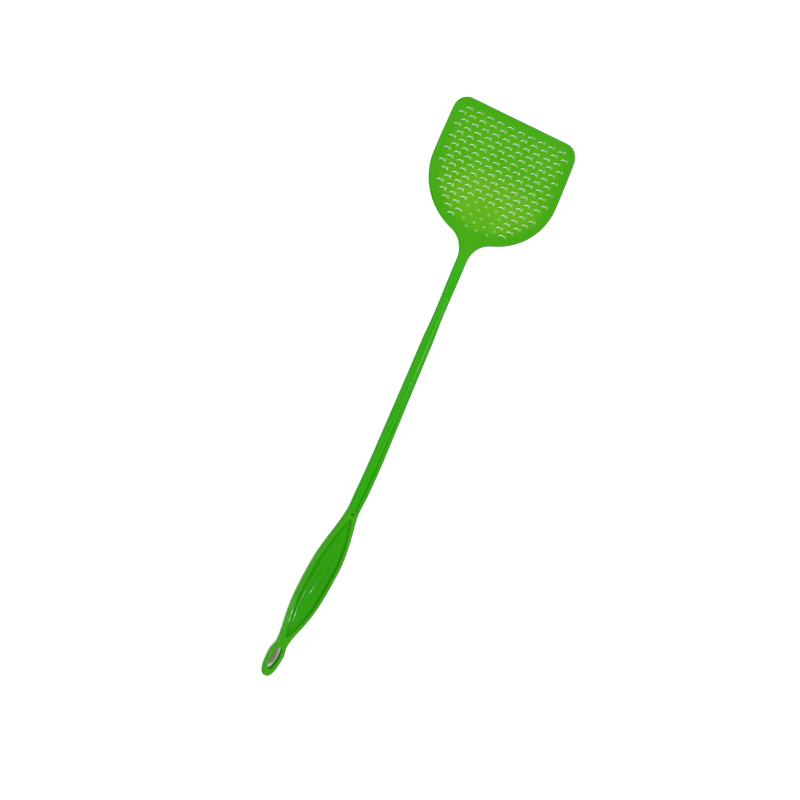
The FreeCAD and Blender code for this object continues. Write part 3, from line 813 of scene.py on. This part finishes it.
def web_surface(form):
    """Points, heights and quads of the web, a cell round each place, welded edge to edge, with a
    share for each point that eases from 0 at the border to 1 inside it, and which quads are walls
    of openings.

    A cell is rings of twelve points: its edge, the boss's foot, and the crescent or, where it is
    blind, smaller ovals down to the middle. On the back a wider crescent meets the cell's edge.
    Cells past the border's inner line are drawn back to a line hidden in the border."""
    o, b = form.o, form.b
    centre, place, blind = lattice(form)
    edge, crescent, foot = cell_frame(form)
    half = b.web_thickness / 2
    kinds = ((place & ~blind, [edge, foot, 0.5 * foot + 0.5 * crescent, crescent]),
             (blind, [edge, foot, *(share * foot for share in BLIND_SHARES)]),
             (~place, [edge, 0 * edge]))
    spots, heights, faces, walls = [], [], [], []

    def add(cells, ring, z):
        """Points of one ring in every cell; gives their numbers, a row to a cell."""
        start = sum(len(part) for part in spots)
        spots.append((cells + ring).reshape(-1, 2))
        heights.append(np.broadcast_to(z, (len(cells), SPOKES)).ravel())
        return start + np.arange(len(cells) * SPOKES).reshape(-1, SPOKES)

    def join(outer, inner, wall=False):
        """Quads between two rings of every cell."""
        quads = np.stack([outer, np.roll(outer, -1, 1), np.roll(inner, -1, 1), inner], -1)
        faces.append(quads.reshape(-1, 4))
        walls.append(np.full(quads.size // 4, wall))

    for chosen, rings in kinds:
        cells = centre[chosen][:, None] + [o.drift, o.lag]
        pierced, domed = rings[-1] is crescent, len(rings) > 2
        upper = [add(cells, ring, half + boss(form, ring) * domed) for ring in rings]
        back = crescent * [o.draft, 1] + [o.skew, 0] if pierced else rings[-1]
        lower = [add(cells, edge, -half), add(cells, back, -half)]
        for outer, inner in zip(upper, upper[1:]):
            join(outer, inner)
        join(lower[1], lower[0])
        if pierced:
            join(upper[-1], lower[1], wall=True)
    xy, z, faces, walls = (np.concatenate(part) for part in (spots, heights, faces, walls))
    inside, deep, nearest = against(web_outline(form, b.border_width - WEB_TUCK), xy)
    deep = deep - WEB_TUCK
    dish = eased(b.dish_depth, 0, np.where(inside, deep, 0) / b.dish_width)
    z = np.where(z > 0, z + dish, z)
    xy = np.where(inside[:, None], xy, nearest)
    kept = inside[faces].any(1)
    outer = outer_wall(xy, z, faces[kept])
    return (xy, z, joined(faces[kept], outer), eased(0, 1, deep / b.tone_width),
            joined(walls[kept], np.zeros(len(outer), bool)))


def outer_wall(xy, z, faces):
    """Quads down from the upper sheet's outer edge to the points under it on the lower sheet."""
    def numbered(points):
        """For each point, the number of its place."""
        return np.unique(np.round(points, WELD_DIGITS), axis=0, return_inverse=True)[1].ravel()

    plan, welded = numbered(xy), numbered(np.column_stack([xy, z]))
    below = np.zeros(plan.max() + 1, int)
    below[plan[z < 0]] = np.flatnonzero(z < 0)
    sides = np.stack([faces, np.roll(faces, -1, 1)], -1).reshape(-1, 2)
    ends = np.sort(welded[sides], 1)
    _, first, times = np.unique(ends, axis=0, return_index=True, return_counts=True)
    lone = (times == 1) & (ends[first, 0] != ends[first, 1]) & (z[sides[first]] > 0).all(1)
    a, b = sides[first[lone]].T
    return np.stack([b, a, below[plan[a]], below[plan[b]]], -1)


def channel_radius(form):
    """Radius of the groove's circle, w^2 / 8d + d / 2 of its width and its depth at the grip."""
    h = form.h
    depth = (h.grip_end_thickness - h.channel_floor) / 2
    return (h.channel_width ** 2 / 4 + depth ** 2) / (2 * depth)


def channel_ends(form):
    """Stations between which the groove has its full depth."""
    lead = form.h.channel_width
    end = form.panel_at - lead - channel_radius(form) / CHANNEL_END_STEEPNESS
    return form.shaft_at + lead, end


def channelled(form, section):
    """Sections with a round bottomed groove sunk in the face, its two ends rounded.

    The groove's surface is a circle about a line above the face, c - sqrt(R^2 - d^2)."""
    radius, (start, end) = channel_radius(form), channel_ends(form)
    x, at, z = np.moveaxis(section, -1, 0)
    past = np.maximum(0, np.maximum(start - at, at - end))
    off = np.hypot(x, past * CHANNEL_END_STEEPNESS)
    level = form.h.channel_floor / 2 + radius + eased(CHANNEL_FADE, 0, (at - start) / (end - start))
    groove = level - np.sqrt(np.clip(radius ** 2 - off ** 2, 0, None))
    return stack(x, at, np.where(z > 0, soft_min(z, groove, CHANNEL_BLEND), z))


def panel_half_width(form, at):
    """Half width of the grip's panel: the grip's less its rim, drawn in to a point at both ends."""
    share = 2 * (at - form.panel_at) / (form.panel_end_at - form.panel_at) - 1
    ends = np.sqrt(np.clip(1 - np.abs(share) ** PANEL_POINT_POWER, 0, None))
    half = form.half_width(at)
    return np.maximum(half - form.g.rim_width, PANEL_LEAST_SHARE * half) * ends


def panel_rows(form):
    """Stations across which rim and panel are both cut into rows, closer together at the ends."""
    middle, half = (form.panel_at + form.panel_end_at) / 2, (form.panel_end_at - form.panel_at) / 2
    return middle - half * np.cos(np.linspace(0, math.pi, PANEL_ROWS))


def panel_height(form, x, at):
    """Height of the panel's face: a lens in section with soft ribs, and a hollow along the rim.

    The lens is a circle's arc from edge to edge, and falls as the square of the distance from the
    widest place. A rib is a raised cosine across, and fades as (1 - s^2)^1.5 to its two ends."""
    g = form.g
    rise = (g.panel_middle - g.panel_edge) / 2
    crown = (g.width ** 2 / 4 + rise ** 2) / (2 * rise)
    z = g.panel_middle / 2 - crown + np.sqrt(crown ** 2 - x ** 2)
    z = z - PANEL_CAMBER * (2 * (at - form.widest_at) / g.length) ** 2
    z = z + g.rib_height * sum(rib * rise for rib, _, rise in ribs(form, x, at))
    z = z - g.moat_depth * moat(form, x, at)
    return np.minimum(z, form.half_thickness(at) - PANEL_SUNK)


def ribs(form, x, at):
    """For each rib, its section as a share, how much of it there is at a station, and its height
    as a share of the middle one's."""
    g = form.g
    for offset in (-1, 0, 1):
        size = g.rib_length - RIB_TAPER_STEP * abs(offset)
        near = np.clip(np.abs(x - offset * g.rib_pitch) / (g.rib_width / 2), 0, 1)
        along = np.clip(np.abs(at - form.widest_at - RIB_SHIFT) / (size / 2), 0, 1)
        present = (1 - along ** 2) ** 1.5
        yield np.cos(near * math.pi / 2) ** 2 * present, present, SIDE_RIB_SHARE if offset else 1.0


def moat(form, x, at):
    """Depth of the hollow along the rim as a share, eased from 0 inside it to 1 at the rim."""
    width = form.g.moat_width
    return eased(0, 1, (x - panel_half_width(form, at) + width) / width)


def panel_painted_shade(form, x, at):
    """Share of the panel's green left by painted shade: 1, less in the hollow along the rim and
    between the ribs, where painted shade darkens the green toward the hollow green.
    """
    shares = list(ribs(form, x, at))
    height, present = sum(share[0] for share in shares), shares[1][1]
    between = present * (1 - height / np.maximum(present, 1e-6)) * (np.abs(x) < form.g.rib_pitch)
    return (1 - moat(form, x, at)) * (1 - GROOVE_SHADE * np.clip(between, 0, 1))


def panel_patches(form):
    """Quarter of the panel: its face, its two ends, and its edge hidden in the rim."""
    at = panel_rows(form)[:, None]
    x = (panel_half_width(form, at) + PANEL_TUCK) * np.sin(quarter_turn(PANEL_COLUMNS))
    section = stack(x, at, panel_height(form, x, at))
    return with_ends(section) + [down_to_middle(section[:, -1])]


def grip_rim_patches(form):
    """Quarter of the grip's rim: the handle's section with a well where the panel sits.

    Columns run from the middle of the well across its floor, up its wall, round the bead's inner
    edge, a quarter of an oval that starts level with the panel, and over to the side."""
    at = joined(np.linspace(form.grip_at, form.panel_at, FORE_ROWS)[:-1], panel_rows(form),
                np.linspace(form.panel_end_at, form.waist_at, AFT_ROWS)[1:])[:, None]
    w, h, r = form.half_width(at), form.half_thickness(at), form.corner_radius(at)
    well = panel_half_width(form, at)
    bead = np.minimum(form.g.rim_rounding, BEAD_SHARE * (w - well))
    bead = np.where(well > 0, bead, LEAST_BEAD)
    hollow = well > WELL_LEAST

    def skin(x):
        over = np.clip((x - (w - r)) / r, 0, 1)
        return h * (1 - over ** CORNER_POWER) ** (1 / CORNER_POWER)

    floor_x = well * np.linspace(0, 1, FLOOR_POINTS)
    turn = quarter_turn(LIP_POINTS)
    lip_x = well + bead * (1 - np.cos(turn))
    level = np.where(hollow, panel_height(form, well, at) - LIP_SUNK, h)
    lip_z = skin(lip_x) - np.clip(skin(lip_x) - level, 0, None) * (1 - np.sin(turn))
    last = lip_x[:, -1:]
    flat_x = last + np.clip(w - r - last, 0, None) * np.linspace(0, 1, FLAT_POINTS)[1:]
    start = np.arcsin(np.clip((last - (w - r)) / r, 0, 1) ** (CORNER_POWER / 2))
    out, up = corner(start + (math.pi / 2 - start) * np.linspace(0, 1, SIDE_ARC_POINTS)[1:])
    x = np.concatenate([floor_x, lip_x, flat_x, w - r + r * out], 1)
    floor_z = np.where(hollow, WELL_FLOOR, h) + 0 * floor_x
    z = np.concatenate([floor_z, lip_z, skin(flat_x), h * up], 1)
    return with_ends(channelled(form, stack(x, at, z)))


def loop_patches(form):
    """Quarter of the end loop: rounded outer edge, flat face, rounded eye and the waist's cut.

    The side eases from the waist to the widest place; behind it the end is an oval. The eye is an
    oval, and its rows keep the same angles as it is widened by its edge's rounding."""
    g = form.g
    half, start = g.waist_thickness / 2 - LOOP_SHY, form.waist_at
    widest_at = start + LOOP_WIDEST
    side_at = np.linspace(start, widest_at, LOOP_SIDE_POINTS)
    side_x = eased(g.waist_width / 2, g.loop_width / 2, (side_at - start) / LOOP_WIDEST)
    ahead, aside = corner(quarter_turn(LOOP_END_POINTS)[1:])
    outs, ups = corner(quarter_turn(LOOP_EDGE_ROWS)[::-1])
    edge = []
    for d, z in zip(LOOP_EDGE_RADIUS * (1 - outs), half * ups):
        tail = stack((g.loop_width / 2 - d) * aside,
                     widest_at + (form.end_at - widest_at - d) * ahead)
        edge.append(raised(joined(stack(side_x - d, side_at), tail), z))
    edge = np.stack(edge)
    cut = np.linspace([0, start, half], edge[-1, 0], CUT_POINTS)[:-1]
    rows = [joined(cut, edge[-1])]
    half_eye = (g.loop_length - EYE_LEAD - g.loop_end_wall) / 2
    middle = start + EYE_LEAD + half_eye
    turn = np.linspace(-math.pi / 2, math.pi / 2, len(rows[0]))
    for a in quarter_turn(EYE_EDGE_ROWS)[::-1]:
        d, z = EYE_EDGE_RADIUS * (1 - math.cos(a)), half - EYE_EDGE_RADIUS * (1 - math.sin(a))
        rows.append(stack((g.loop_width / 2 - g.loop_wall + d) * np.cos(turn),
                          middle + (half_eye + d) * np.sin(turn), z))
    rows.append(raised(rows[-1], 0))
    return [edge, np.stack(rows), down_to_middle(joined(cut, edge[::-1, 0]))]


# ---- operators ----
# painted glow on the web near the neck: its middle and its reach
WEB_PAINTED_GLOW_PLACE = (62.0 * MM, 4.0 * MM)          # station and distance across
WEB_PAINTED_GLOW_REACH = (60 * MM, 31 * MM, 60 * MM)
NECK_TONE_REACH = (13 * MM, 13 * MM, 13 * MM)
# reach of the painted shade where the channel ends
CHANNEL_END_SHADE_REACH = (3.0 * MM, 2.2 * MM, 2.2 * MM)
NECK_ROWS = 60
SHAFT_ROWS = 190
OPENING_ROUGHNESS = 0.6


def form_and_finish(context):
    """Form and colours from the scene's settings."""
    settings = context.scene.swatter
    return Form(settings), settings.finish


class SWATTER_OT_border(bpy.types.Operator):
    """Thick border of the blade with its rounded edge and the gusset above the neck"""
    bl_idname = "swatter.border"
    bl_label = "Blade border"

    def execute(self, context):
        form, finish = form_and_finish(context)
        piece = put_quarters("blade_border", form, border_patches(form))
        ride(piece, "blade", "blade", plastic("border_plastic", finish, finish.border), "blade_rim")
        return {"FINISHED"}


class SWATTER_OT_web(bpy.types.Operator):
    """Thin web with its staggered rows of crescent openings on low bosses"""
    bl_idname = "swatter.web"
    bl_label = "Pierced web"

    def execute(self, context):
        form, finish = form_and_finish(context)
        xy, z, faces, tone_and_painted_shade, walls = web_surface(form)
        points = form.laid(xy[:, 0], xy[:, 1], z)
        piece = put_mesh("blade_mesh", points, faces, WEB_SHARP_ANGLE, tone_and_painted_shade, walls)
        # painted glow: a lighter green painted on the web near the neck
        glow = (finish.glow, form.spot(*WEB_PAINTED_GLOW_PLACE), WEB_PAINTED_GLOW_REACH)
        green = plastic("web_plastic", finish, finish.web, glow=glow, edge=finish.border)
        ride(piece, "blade", "blade", green, "blade_web")
        # painted light: the walls of the openings take a lighter green for light coming through
        # them
        piece.data.materials.append(plastic("opening_plastic", finish, finish.opening,
                                            roughness=OPENING_ROUGHNESS, gloss=0.0))
        return {"FINISHED"}


class SWATTER_OT_neck(bpy.types.Operator):
    """Springy strip between the blade and the shaft"""
    bl_idname = "swatter.neck"
    bl_label = "Neck"

    def execute(self, context):
        form, finish = form_and_finish(context)
        section = quarter_section(form, np.linspace(form.neck_at, form.shaft_at, NECK_ROWS))
        piece = put_quarters("neck_strip", form, with_ends(section))
        ends = form.spot(form.shaft_at), form.spot(form.neck_at)
        glow = (finish.border, ends[1], NECK_TONE_REACH)
        green = plastic("neck_plastic", finish, finish.handle, glow=glow)
        ride(piece, None, "handle", green, "neck")
        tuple(ends[0])
        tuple(ends[1])
        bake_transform(piece)
        return {"FINISHED"}


class SWATTER_OT_shaft(bpy.types.Operator):
    """Shaft with a round bottomed groove along each face"""
    bl_idname = "swatter.shaft"
    bl_label = "Shaft"

    def execute(self, context):
        form, finish = form_and_finish(context)
        at = np.linspace(form.shaft_at, form.grip_at, SHAFT_ROWS)
        section = channelled(form, quarter_section(form, at, arc_points=12, flat_points=16))
        piece = put_quarters("shaft_bar", form, with_ends(section))
        ride(piece, "handle", "handle", plastic("shaft_plastic", finish, finish.handle), "shaft")
        return {"FINISHED"}


class SWATTER_OT_grip(bpy.types.Operator):
    """Leaf shaped rim of the grip, a bead round the well of the panel"""
    bl_idname = "swatter.grip"
    bl_label = "Grip rim"

    def execute(self, context):
        form, finish = form_and_finish(context)
        piece = put_quarters("grip_bead", form, grip_rim_patches(form))
        # painted shade: a darker green painted in an oval where the channel ends
        end = channel_ends(form)[1] + form.h.channel_width / 4
        shade = (finish.deep, form.spot(end, z=form.h.channel_floor / 2), CHANNEL_END_SHADE_REACH)
        green = plastic("grip_plastic", finish, finish.bead, glow=shade, roughness=SLEEK)
        ride(piece, "handle", "handle", green, "grip_rim")
        return {"FINISHED"}


class SWATTER_OT_panel(bpy.types.Operator):
    """Crowned panel of the grip with three soft ribs"""
    bl_idname = "swatter.panel"
    bl_label = "Grip panel"

    def execute(self, context):
        form, finish = form_and_finish(context)
        # painted shade: the panel's attribute darkens its green toward the hollow green along the
        # rim and between the ribs
        piece = put_quarters("grip_leaf", form, panel_patches(form), panel_painted_shade)
        green = plastic("panel_plastic", finish, finish.grip, edge=finish.hollow,
                        roughness=PANEL_SLEEK)
        ride(piece, "handle", "handle", green, "grip_panel")
        return {"FINISHED"}


class SWATTER_OT_loop(bpy.types.Operator):
    """End loop with its hanging eye"""
    bl_idname = "swatter.loop"
    bl_label = "End loop"

    def execute(self, context):
        form, finish = form_and_finish(context)
        piece = put_quarters("end_loop", form, loop_patches(form))
        green = plastic("loop_plastic", finish, finish.bead, roughness=SLEEK)
        ride(piece, "handle", "handle", green, "hanging_loop")
        return {"FINISHED"}


LAMPS = (    # name, direction in the blade's own axes, side in metres and power in watts
    ("soft_top", (-0.30, 0.10, 0.95), 1.1, 31),
    ("key_right", (0.58, 0.34, 0.735), 0.30, 26),
    ("grip_light", (0.02, -0.69, 0.72), 0.10, 7),
)
LAMP_DISTANCE = 2.6
ROOM_LIGHT = 0.15           # strength of the even light from all sides
TABLE_REACH = 3.0           # half the table's side
TABLE_GLOW = 0.8            # light that brings the table up to white
TABLE_WHITE = (0.8, 0.8, 0.8, 1)
# painted shadow: the table's colour under the eye of the loop
TABLE_SHADE = (0.30, 0.29, 0.20, 1)
SHADE_PLACE = 0.40          # middle of the shade under the eye, as a share of the loop's length
SHADE_REACH = (7 * MM, 15 * MM, 7 * MM)
SHADE_DEPTH = 1.6           # over 1, the shade's core has none of the table's glow
AIM_OFFSET = (-1.68 * MM, 5.7 * MM, 7.4 * MM)    # from the middle of the box to the camera's aim
SENSOR_WIDTH = 36.0


def add_lamp(form, target, name, towards, side, power):
    """Square area lamp in a direction from a target, turned to face it."""
    data = bpy.data.lights.new(name, "AREA")
    data.shape, data.size, data.energy = "SQUARE", side, power
    lamp = put_object(name, data)
    aim = form.direction(*towards).normalized()
    lamp.location = target + aim * LAMP_DISTANCE
    lamp.rotation_euler = aim.to_track_quat("Z", "Y").to_euler()


def seen_as_background(tree, kinds=("Camera", "Glossy", "Transmission")):
    """1 for the kinds of ray that look at the background, and 0 for those that light the piece."""
    rays = node(tree, "LightPath").outputs
    seen = rays[f"Is {kinds[0]} Ray"]
    for kind in kinds[1:]:
        seen = maths(tree, "MAXIMUM", seen, rays[f"Is {kind} Ray"])
    return seen


class SWATTER_OT_stage(bpy.types.Operator):
    """White table, soft lamps, plain surroundings and the camera"""
    bl_idname = "swatter.stage"
    bl_label = "Stage"

    def execute(self, context):
        form, _ = form_and_finish(context)
        middle = (CAD_BOX[0] + CAD_BOX[1]) / 2
        self.add_table(form)
        for lamp in LAMPS:
            add_lamp(form, middle, *lamp)
        self.add_world(context)
        self.add_camera(context, form, middle)
        context.scene.view_settings.view_transform = "Standard"
        return {"FINISHED"}

    def add_table(self, form):
        """Level white table; the camera, mirrors and glass see it lit up to white.

        The light is left out under the eye of the loop, and a painted shadow darkens the table's
        colour there, for the loop's shadow."""
        mesh = bpy.data.meshes.new("table")
        corners = TABLE_REACH * np.array([(-1, -1, 0), (1, -1, 0), (1, 1, 0), (-1, 1, 0)])
        mesh.from_pydata(corners, [], [(0, 1, 2, 3)])
        table = put_object("table", mesh)
        material, tree, shader = new_material("white_table")
        eye = form.spot(form.waist_at + SHADE_PLACE * form.g.loop_length)
        eye.z = 0
        # painted shadow under the eye of the loop: less glow and a darker table colour
        shade = soft_oval(tree, node(tree, "TexCoord").outputs["Object"], eye, SHADE_REACH)
        lit = maths(tree, "MULTIPLY_ADD", shade, -SHADE_DEPTH, 1.0, use_clamp=True)
        glow = maths(tree, "MULTIPLY", seen_as_background(tree), TABLE_GLOW)
        feed(tree, shader, {"Base Color": blended(tree, shade, TABLE_WHITE, TABLE_SHADE),
                            "Roughness": 0.9, "Specular IOR Level": 0.0,
                            "Emission Color": (1, 1, 1, 1),
                            "Emission Strength": maths(tree, "MULTIPLY", glow, lit)})
        mesh.materials.append(material)

    def add_world(self, context):
        """Dim even light from all sides, which the camera sees as white."""
        world = bpy.data.worlds.new("plain_room")
        world.use_nodes = True
        tree = world.node_tree
        seen = seen_as_background(tree, ("Camera", "Transmission"))
        strength = maths(tree, "MULTIPLY_ADD", seen, 1 - ROOM_LIGHT, ROOM_LIGHT)
        feed(tree, tree.nodes["Background"], {"Color": (1, 1, 1, 1), "Strength": strength})
        context.scene.world = world

    def add_camera(self, context, form, middle):
        """Camera that leans to one side of the blade's face and is rolled about the view."""
        stage = context.scene.swatter.stage
        data = bpy.data.cameras.new("camera")
        data.lens, data.sensor_width = stage.lens, SENSOR_WIDTH
        data.clip_start, data.clip_end = 0.05, 20.0
        camera = put_object("camera", data)
        lean, roll = stage.tilt, stage.roll
        back = form.direction(-math.sin(lean), 0, math.cos(lean))
        across = form.direction(math.cos(lean), 0, math.sin(lean))
        along = form.direction(0, 1, 0)
        right = across * math.cos(roll) + along * math.sin(roll)
        up = along * math.cos(roll) - across * math.sin(roll)
        turn = Matrix((right, up, back)).transposed().to_4x4()
        aim = middle + Vector(AIM_OFFSET)
        camera.matrix_world = Matrix.Translation(aim + back * stage.distance) @ turn
        context.scene.camera = camera


PIECES = ("border", "web", "neck", "shaft", "grip", "panel", "loop", "stage")


class SWATTER_PT_panel(bpy.types.Panel):
    """Buttons that build the swatter piece by piece, and its sizes"""
    bl_idname = "SWATTER_PT_panel"
    bl_label = "Fly swatter"
    bl_space_type = "VIEW_3D"
    bl_region_type = "UI"
    bl_category = "Swatter"

    def draw(self, context):
        for piece in PIECES:
            self.layout.operator("swatter." + piece)
        settings = context.scene.swatter
        for name, group in GROUPS.items():
            box = self.layout.box()
            box.label(text=spoken(name))
            for key in group.__annotations__:
                box.prop(getattr(settings, name), key)


CLASSES = (*GROUPS.values(), SwatterSettings, SWATTER_OT_border, SWATTER_OT_web, SWATTER_OT_neck,
           SWATTER_OT_shaft, SWATTER_OT_grip, SWATTER_OT_panel, SWATTER_OT_loop, SWATTER_OT_stage,
           SWATTER_PT_panel)


def register():
    for item in CLASSES:
        bpy.utils.register_class(item)
    bpy.types.Scene.swatter = PointerProperty(type=SwatterSettings)


def unregister():
    del bpy.types.Scene.swatter
    for item in reversed(CLASSES):
        bpy.utils.unregister_class(item)


def main():
    """Registers the classes, and builds every piece and the stage."""
    register()
    moulding_group()
    spot_group()
    for piece in PIECES:
        getattr(bpy.ops.swatter, piece)()


if __name__ == "__main__":
    main()
